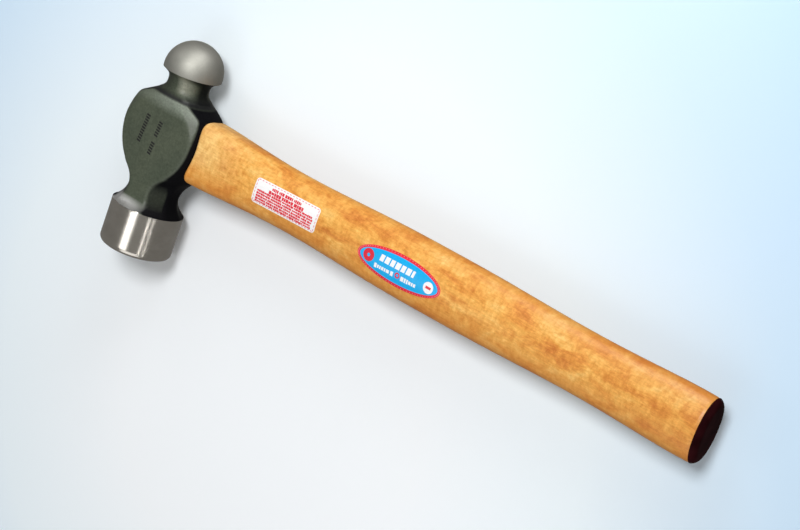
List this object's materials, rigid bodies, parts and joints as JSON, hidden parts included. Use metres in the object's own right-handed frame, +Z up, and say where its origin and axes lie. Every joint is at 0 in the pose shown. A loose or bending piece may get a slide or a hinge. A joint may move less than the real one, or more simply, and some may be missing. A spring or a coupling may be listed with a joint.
{
  "type": "ball peen hammer",
  "caption": "Ball peen hammer: forged steel head with round striking face, flat cheeks and ball peen, wedged on an oval lacquered wooden handle.",
  "frame": {"origin": "on the ground plane under the middle of the whole hammer, which lies on its side", "axes": "+X along the handle from the head to the butt, +Y along the head from the striking face to the ball, +Z up, square to the flat cheek"},
  "size_m": [0.3712, 0.1196, 0.04],
  "materials": {
    "forged_steel": "dark olive forged and coated steel, ground bright and left bare on the striking face and the ball",
    "handle_wood": "light wood under clear satin lacquer",
    "wedge_wood": "raw hardwood",
    "wedge_steel": "plain mild steel",
    "butt_lacquer": "dark maroon dipped lacquer, glossy",
    "notice_print": "white printed sticker with red marks",
    "badge_print": "blue printed sticker with a red rim and white marks"
  },
  "bodies": {
    "root": {"hammer_head": "forged_steel", "handle": "handle_wood", "wooden_wedge": "wedge_wood", "steel_wedge": "wedge_steel", "butt_dip": "butt_lacquer", "rectangular_label": "notice_print", "oval_label": "badge_print"}
  },
  "joints": []
}
